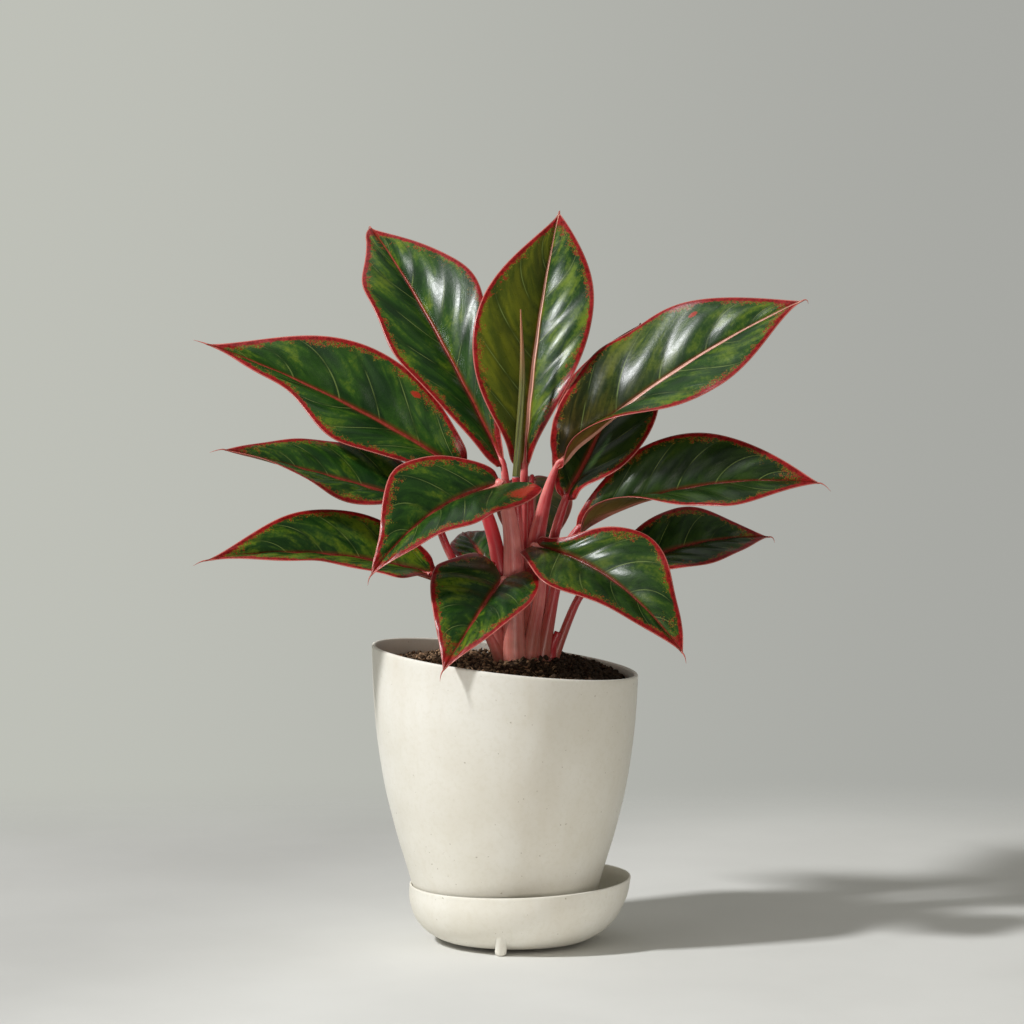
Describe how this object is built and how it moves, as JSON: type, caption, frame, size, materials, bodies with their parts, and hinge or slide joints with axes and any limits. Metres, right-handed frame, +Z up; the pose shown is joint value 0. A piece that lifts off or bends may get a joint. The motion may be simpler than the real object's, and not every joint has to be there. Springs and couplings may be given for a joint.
{
  "type": "potted chinese evergreen",
  "caption": "Leafy houseplant with broad pointed red-edged leaves on pink stalks, growing in soil in a cream pot with a slanted rim that stands in a wider saucer.",
  "frame": {"origin": "middle of the whole plant's box in X and Y, at the level that the saucer's feet stand on", "axes": "+Z up along the pot, +Y towards the back, +X to the right as seen from the front; the pot's rim falls towards +X"},
  "size_m": [0.3254, 0.177, 0.3874],
  "materials": {
    "pot": "matte cream, fine pale speckle",
    "saucer": "matte cream, olive in its shaded inside",
    "soil": "loose crumbly potting soil with bark fibres",
    "stalks": "satin pink, crimson on the shaded sides",
    "leaves": "glossy dark green with yellow-green patches, red margins and pink midribs",
    "new_leaf": "satin pale yellow-green"
  },
  "bodies": {
    "root": {"pot": "pot", "saucer": "saucer", "soil": "soil", "stalks": "stalks", "leaf_top_left": "leaves", "leaf_top_middle": "leaves", "leaf_top_right": "leaves", "leaf_back_right": "leaves", "leaf_back_drooping": "leaves", "leaf_right_upper": "leaves", "leaf_right_lower": "leaves", "leaf_front_right": "leaves", "leaf_front_low": "leaves", "leaf_front_left": "leaves", "leaf_left_upper": "leaves", "leaf_left_middle": "leaves", "leaf_left_lower": "leaves", "leaf_back_small": "leaves", "new_leaf": "new_leaf"}
  },
  "joints": []
}
